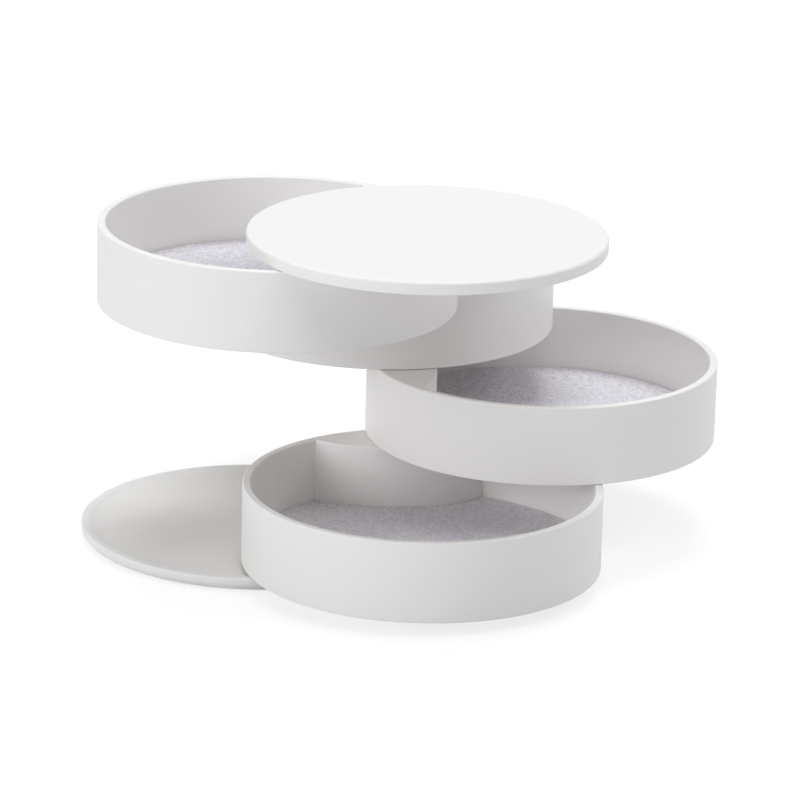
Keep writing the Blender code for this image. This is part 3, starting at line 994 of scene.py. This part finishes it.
@dataclass
class Tray(Tier):
    """One round tray: a straight-walled moulding with a hollow pivot housing, and its liner."""

    number: int = 1
    height: float = 26.0 * MM
    wall: float = 2.6 * MM
    floor: float = 2.1 * MM
    recess: float = 1.5 * MM
    skirt_width: float = 3.2 * MM
    skirt_drop: float = 0.15 * MM
    floor_fillet: float = 0.6 * MM
    rim_round: float = 0.55 * MM
    rim_inner_round: float = 0.6 * MM
    skirt_round: float = 0.5 * MM
    housing_edge: float = 0.6 * MM
    housing_wall: float = 2.2 * MM
    housing_roof: float = 2.2 * MM
    pocket_reach: float = 22.0 * MM
    boss_radius: float = 8.8 * MM
    rib: float = 1.4 * MM
    flange_seat: Pair = (7.3 * MM, 1.3 * MM)
    sleeve_seat: Pair = (5.6 * MM, 9.3 * MM)
    waist: float = 4.6 * MM
    round_steps: int = 64

    @property
    def wall_radius(self) -> float:
        """Inner radius of the wall."""
        return self.outline.disc_radius - self.wall

    @property
    def floor_top(self) -> float:
        """Height of the floor above the tray's underside."""
        return self.recess + self.floor

    def cup(self) -> Piece:
        """Build the round cup alone, without its housing.

        Returns:
            The piece.
        """
        shared = self.outline
        radius = shared.disc_radius
        inner_rim = (self.wall_radius, self.height)
        fillet_foot = (self.wall_radius, self.floor_top)
        profile = [
            (0.0, self.floor_top),
            *rounded(fillet_foot, self.floor_fillet, Corner.FLOOR_INNER, shared.edge_steps),
            *rounded(inner_rim, self.rim_inner_round, Corner.UPPER_INNER, shared.broad_steps),
            *rounded((radius, self.height), self.rim_round, Corner.UPPER_OUTER, shared.edge_steps),
            *rounded((radius, -self.skirt_drop), self.skirt_round, Corner.LOWER_OUTER, shared.broad_steps),
            (radius - self.skirt_width, -self.skirt_drop),
            (radius - self.skirt_width, self.recess),
            (0.0, self.recess),
        ]
        return turned(profile, shared.disc_steps, shared.offset)

    def pockets(self) -> Piece:
        """Build the open pockets under the housing: the lens inside its walls, less boss and rib.

        Returns:
            The piece.
        """
        lens = self.outline.lens(self.wall_radius, self.housing_wall, self.pocket_reach)
        made = prism(lens, -self.floor, self.height - self.housing_roof)
        span = 2 * self.height
        work(made, post(self.boss_radius, -span, span, self.round_steps), Work.CUT)
        work(made, block((self.rib, 3 * self.pocket_reach, 2 * span), 0.0), Work.CUT)
        return made

    def bush_seats(self) -> Piece:
        """Build the stepped hole through the boss, with a seat for a flanged bush at each end.

        Returns:
            The piece.
        """
        flange, flange_depth = self.flange_seat
        sleeve, sleeve_depth = self.sleeve_seat
        past = self.height + self.floor
        upper = [
            (0.0, past),
            (flange, past),
            (flange, self.height - flange_depth),
            (sleeve, self.height - flange_depth),
            (sleeve, self.height - sleeve_depth),
            (self.waist, self.height - sleeve_depth),
        ]
        lower = [(radius, self.height - level) for radius, level in reversed(upper)]
        return turned(upper + lower, self.round_steps)

    def moulding(self) -> Piece:
        """Build the whole moulding, in the tier's own place.

        Returns:
            The piece.
        """
        cup = self.cup()
        lap_radius = self.wall_radius + (self.rim_inner_round + self.wall - self.rim_round) / 2
        work(cup, self.outline.housing(0.0, self.height, lap_radius, self.housing_edge), Work.JOIN)
        work(cup, self.pockets(), Work.CUT)
        work(cup, self.bush_seats(), Work.CUT)
        smooth(cup)
        return cup

    def dress(self, pattern: Piece, frame: dict[str, Any]) -> None:
        """Put this tray's moulding, liner and bushes in place.

        Args:
            pattern: The moulding that all trays share, in a tier's own place.
            frame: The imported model.
        """
        moulding = pattern.copy()
        moulding.data = pattern.data.copy()
        bpy.context.scene.collection.objects.link(moulding)
        self.hand_over(moulding, f"{self.body}_moulding", Slot.WHITE_PLASTIC, self.node)
        # Any place in the noise will do, as long as each tray has its own.
        seed = Vector((self.number, 2.0 * self.number, 0.5)) * self.outline.disc_radius / MM
        felt = Liner(self.outline, self.wall_radius, self.floor_top, seed)
        liner = felt.build()
        self.hand_over(liner, f"{self.body}_liner", Slot.GREY_FELT, f"{self.body}_felt")
        felt.declare(liner)
        for bush in ("upper_bush", "lower_bush"):
            self.finish_node(frame, f"{self.body}_{bush}", Slot.BEARING_PLASTIC)


@dataclass
class Base(Tier):
    """The shallow dish that the stack stands on, with its non-slip pad."""

    height: float = 5.0 * MM
    rim_width: float = 2.8 * MM
    rim_round: float = 0.6 * MM
    lower_round: float = 3.0 * MM
    lower_steps: int = 10
    lift: float = 0.7 * MM
    floor: float = 1.4 * MM
    lip_share: float = 0.2
    lip_power: float = 56.0
    dish_power: float = 3.0
    pad_radius: float = 52.4 * MM
    pad_thickness: float = 1.0 * MM
    pad_round: float = 0.25 * MM
    gap: float = 0.3 * MM
    web: float = 1.5 * MM
    recess_radius: float = 7.0 * MM
    notch_radius: float = 8.0 * MM
    bore: float = 4.3 * MM
    land_edge: float = 0.5 * MM
    dish_steps: int = 96
    round_steps: int = 64

    def hollow(self, reach: float, floor_z: float, depth: float) -> list[Pair]:
        """Draw the dish's upper face, flat in the middle and steeper towards the rim, with a soft lip.

        Args:
            reach: Radius at which it meets the rim.
            floor_z: Height of its middle.
            depth: How far the rim stands above its middle.

        Returns:
            Points from near the middle to the rim, both radius and height.
        """
        points = []
        for i in range(1, self.dish_steps + 1):
            share = i / self.dish_steps
            climb = (1.0 - self.lip_share) * share**self.dish_power + self.lip_share * share**self.lip_power
            points.append((reach * share, floor_z + depth * climb))
        return points

    def moulding(self) -> Piece:
        """Build the dish with its pivot land, in the tier's own place.

        Returns:
            The piece.
        """
        shared = self.outline
        radius = shared.disc_radius
        ceiling = self.pad_thickness + self.gap
        floor_z = ceiling + self.floor
        profile = [
            (0.0, floor_z),
            *self.hollow(radius - self.rim_width, floor_z, self.height - floor_z),
            *rounded((radius, self.height), self.rim_round, Corner.UPPER_OUTER, shared.edge_steps),
            *rounded((radius, self.lift), self.lower_round, Corner.LOWER_OUTER, self.lower_steps),
            (self.pad_radius + self.gap, self.lift),
            (self.pad_radius + self.gap, ceiling),
            (0.0, ceiling),
        ]
        dish = turned(profile, shared.disc_steps, shared.offset)
        lap_radius = radius - (self.rim_width + self.rim_round) / 2
        land = shared.housing(ceiling + self.floor / 2, self.height, lap_radius, self.land_edge)
        work(dish, land, Work.JOIN)
        web_z = self.height - self.web
        past = 2 * self.height
        work(dish, post(self.recess_radius, -web_z, web_z, self.round_steps), Work.CUT)
        work(dish, post(self.bore, -past, past, self.round_steps), Work.CUT)
        smooth(dish)
        return dish

    def pad(self) -> Piece:
        """Build the pad, notched round the screw, in the tier's own place.

        Returns:
            The piece.
        """
        shared = self.outline
        profile = [
            (0.0, self.pad_thickness),
            (self.pad_radius, self.pad_thickness),
            *rounded((self.pad_radius, 0.0), self.pad_round, Corner.LOWER_OUTER, shared.edge_steps),
            (0.0, 0.0),
        ]
        made = turned(profile, shared.disc_steps, shared.offset)
        past = 2 * self.pad_thickness
        work(made, post(self.notch_radius, -past, past, self.round_steps), Work.CUT)
        smooth(made)
        return made

    def dress(self) -> None:
        """Build the base and its pad, and put them in place of their nodes."""
        self.hand_over(self.moulding(), "base_moulding", Slot.WHITE_PLASTIC, self.node)
        self.hand_over(self.pad(), "non_slip_pad", Slot.PAD_RUBBER, "base_pad")


@dataclass
class Hardware(Tier):
    """What holds the stack together: the shaft, and a spring washer, washer and screw below the base."""

    shaft_room: float = 4.3 * MM
    spring: Size = (6.2 * MM, 0.7 * MM, 0.4 * MM)
    washer: Pair = (6.4 * MM, 0.8 * MM)
    screw_radius: float = 1.8 * MM
    screw_point: float = 0.5 * MM
    head_radius: float = 3.6 * MM
    head_height: float = 0.8 * MM
    head_round: float = 0.25 * MM
    edge_round: float = 0.12 * MM
    drive: Size = (3.8 * MM, 0.9 * MM, 0.5 * MM)
    gap: float = 0.3 * MM
    edge_steps: int = 3
    round_steps: int = 96

    def spring_washer(self) -> Piece:
        """Build the conical spring washer, high at its bore.

        Returns:
            The piece.
        """
        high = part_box("spring_washer")[1].z
        radius, rise, thickness = self.spring
        profile = [
            (self.shaft_room, high),
            (radius, high - rise + thickness),
            (radius, high - rise),
            (self.shaft_room, high - thickness),
        ]
        return turned(profile, self.round_steps)

    def retaining_washer(self) -> Piece:
        """Build the flat washer, its outer edges broken.

        Returns:
            The piece.
        """
        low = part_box("retaining_washer")[0].z
        radius, thickness = self.washer
        high = low + thickness
        bore = self.screw_radius + self.gap
        profile = [
            (bore, high),
            *rounded((radius, high), self.edge_round, Corner.UPPER_OUTER, self.edge_steps),
            *rounded((radius, low), self.edge_round, Corner.LOWER_OUTER, self.edge_steps),
            (bore, low),
        ]
        return turned(profile, self.round_steps)

    def screw(self) -> Piece:
        """Build the screw, head down, with a crossed drive.

        Returns:
            The piece.
        """
        low, high = (corner.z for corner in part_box("retaining_screw"))
        profile = [
            (0.0, high),
            (self.screw_radius - self.screw_point, high),
            (self.screw_radius, high - self.screw_point),
            (self.screw_radius, low + self.head_height),
            (self.head_radius, low + self.head_height),
            *rounded((self.head_radius, low), self.head_round, Corner.LOWER_OUTER, self.edge_steps),
            (0.0, low),
        ]
        made = turned(profile, self.round_steps)
        long, wide, deep = self.drive
        work(made, block((long, wide, 2 * deep), low), Work.CUT)
        work(made, block((wide, long, 2 * deep), low), Work.CUT)
        return made

    def dress(self, frame: dict[str, Any]) -> None:
        """Build what shows from below, and give the shaft its finish.

        Args:
            frame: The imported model.
        """
        pieces = [
            (self.spring_washer(), "cone_washer", "spring_washer"),
            (self.retaining_washer(), "flat_washer", "retaining_washer"),
            (self.screw(), "pan_screw", "retaining_screw"),
        ]
        for piece, name, node in pieces:
            smooth(piece)
            self.hand_over(piece, name, Slot.STEEL, node)
        self.finish_node(frame, "pivot_shaft", Slot.STEEL)


# Studio


@dataclass(frozen=True)
class Softbox:
    """A soft rectangular lamp that looks at the object, placed by its azimuth and elevation."""

    name: str
    angles_deg: Pair
    size: Pair
    level: float
    distance: float = 1.6

    def build(self, target: Vector, colour: Colour) -> None:
        """Add the lamp.

        Args:
            target: What it looks at.
            colour: The colour of its light.
        """
        width, height = self.size
        lamp = bpy.data.lights.new(self.name, "AREA")
        lamp.shape = "RECTANGLE"
        lamp.size = width
        lamp.size_y = height
        lamp.energy = self.level * math.pi * width * height
        lamp.color = colour
        turn, rise = (math.radians(angle) for angle in self.angles_deg)
        away = Vector((math.cos(turn) * math.cos(rise), math.sin(turn) * math.cos(rise), math.sin(rise)))
        holder = bpy.data.objects.new(self.name, lamp)
        holder.location = target + away * self.distance
        holder.rotation_euler = away.to_track_quat("Z", "Y").to_euler()
        holder.visible_camera = False
        bpy.context.scene.collection.objects.link(holder)


@dataclass(frozen=True)
class Studio:
    """A plain pale floor in a white room, lit by soft lamps, and the camera of the photograph."""

    lamp_colour: Colour = (0.963, 1.0, 1.028)
    room_colour: Colour = (1.0, 1.0, 1.0)
    ambient: float = 0.185
    floor_span: float = 9.0
    floor_drop: float = 0.1 * MM
    floor_colour: Colour = (0.71, 0.71, 0.71)
    floor_shadow: Colour = (0.35, 0.35, 0.35)
    floor_glow: float = 0.76
    camera_place: Size = (-0.48 * MM, -1502.48 * MM, 522.29 * MM)
    camera_down_deg: float = 17.65
    camera_roll_deg: float = 1.53
    focal_pixels: float = 4830.0
    frame_pixels: float = 800.0
    sensor: float = 36.0

    def softboxes(self) -> list[Softbox]:
        """Return the lamps: two overhead, a wide one low at the left, two in front, one at the right."""
        return [
            Softbox("key_softbox", angles_deg=(60.0, 72.0), size=(0.5, 0.5), level=8.4),
            Softbox("back_softbox", angles_deg=(120.0, 75.0), size=(0.55, 0.5), level=6.4),
            Softbox("left_softbox", angles_deg=(-142.0, 15.0), size=(1.4, 0.58), level=4.6),
            Softbox("top_softbox", angles_deg=(-75.0, 55.0), size=(0.7, 0.6), level=2.35),
            Softbox("front_softbox", angles_deg=(-30.0, 45.0), size=(0.7, 0.6), level=3.0),
            Softbox("right_softbox", angles_deg=(15.0, 8.0), size=(0.8, 0.45), level=2.8),
        ]

    @staticmethod
    def seen(board: Board) -> Signal:
        """Return 1 for what the camera sees, directly, mirrored or through glass, and otherwise 0."""
        rays = ("Is Camera Ray", "Is Glossy Ray", "Is Transmission Ray")
        return reduce(Signal.or_more, [board.node("ShaderNodeLightPath", output=ray) for ray in rays])

    def light_room(self) -> None:
        """Make the world: white where it is seen, and a plain soft light everywhere else."""
        world = bpy.data.worlds.new("white_room")
        bpy.context.scene.world = world
        board = Board(world)
        seen = self.seen(board)
        strength = self.ambient + (1.0 - self.ambient) * seen
        colour = board.mix(seen, self.lamp_colour, self.room_colour)
        light = board.node("ShaderNodeBackground", inputs={"Color": colour, "Strength": strength})
        board.show("ShaderNodeOutputWorld", light)

    def lay_floor(self) -> None:
        """Make the floor: pale for the light that it throws back, near white where it is seen."""
        shape = bmesh.new()
        bmesh.ops.create_grid(shape, x_segments=1, y_segments=1, size=self.floor_span / 2)
        bmesh.ops.translate(shape, verts=shape.verts, vec=(0.0, 0.0, -self.floor_drop))
        floor = add_piece(shape)
        floor.name = "floor"
        paint = bpy.data.materials.new("floor_paint")
        board = Board(paint)
        pale = board.node("ShaderNodeBsdfDiffuse", inputs={"Color": self.floor_colour})
        shadow = board.node("ShaderNodeBsdfDiffuse", inputs={"Color": self.floor_shadow})
        glow = board.node("ShaderNodeEmission", inputs={"Strength": self.floor_glow})
        near_white = board.node("ShaderNodeAddShader", inputs={0: shadow, 1: glow})
        top = board.node("ShaderNodeMixShader", inputs={0: self.seen(board), 1: pale, 2: near_white})
        below = board.node("ShaderNodeNewGeometry", output="Backfacing")
        clear = board.node("ShaderNodeBsdfTransparent")
        both = board.node("ShaderNodeMixShader", inputs={0: below, 1: top, 2: clear})
        board.show("ShaderNodeOutputMaterial", both)
        floor.data.materials.append(paint)
        floor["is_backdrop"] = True

    def set_camera(self) -> None:
        """Set up the camera that took the photograph."""
        lens = bpy.data.cameras.new("photo_camera")
        lens.sensor_width = self.sensor
        lens.lens = self.focal_pixels * self.sensor / self.frame_pixels
        lens.clip_end = 2 * self.floor_span
        camera = bpy.data.objects.new("photo_camera", lens)
        down = Matrix.Rotation(math.radians(90.0 - self.camera_down_deg), 4, "X")
        roll = Matrix.Rotation(math.radians(self.camera_roll_deg), 4, "Z")
        camera.matrix_world = Matrix.Translation(self.camera_place) @ down @ roll
        bpy.context.scene.collection.objects.link(camera)
        bpy.context.scene.camera = camera

    def build(self, target: Vector) -> None:
        """Set up the room, the floor, the lamps and the camera.

        Args:
            target: What the lamps look at.
        """
        bpy.context.scene.view_settings.view_transform = "Standard"
        self.light_room()
        self.lay_floor()
        for softbox in self.softboxes():
            softbox.build(target, self.lamp_colour)
            log.info("%s is set up", softbox.name)
        self.set_camera()


def main() -> None:
    """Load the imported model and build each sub-assembly's looks and the studio."""
    logging.basicConfig(level=logging.INFO, format="%(message)s")
    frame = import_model()
    cad_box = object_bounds()
    finishes = {
        Slot.WHITE_PLASTIC: MouldedPlastic(),
        Slot.GREY_FELT: NeedledFelt(),
        Slot.BEARING_PLASTIC: BearingPlastic(),
        Slot.STEEL: TurnedSteel(),
        Slot.PAD_RUBBER: PadRubber(),
    }
    materials = {slot: bpy.data.materials.new(slot.value) for slot in finishes}
    for slot, finish in finishes.items():
        finish.paint(Board(materials[slot]))

    Base("base", "base_dish", materials, from_ground=True).dress()
    trays = [Tray(f"tray_{n}", f"tray_{n}_shell", materials, number=n) for n in range(1, 5)]
    pattern = trays[0].moulding()
    for tray in trays:
        tray.dress(pattern, frame)
    bpy.data.objects.remove(pattern, do_unlink=True)
    Lid("lid", "lid_disc", materials).dress()
    Hardware("lid", "lid_disc", materials, from_ground=True).dress(frame)

    low, high = cad_box
    Studio().build((low + high) / 2)


if __name__ == "__main__":
    main()
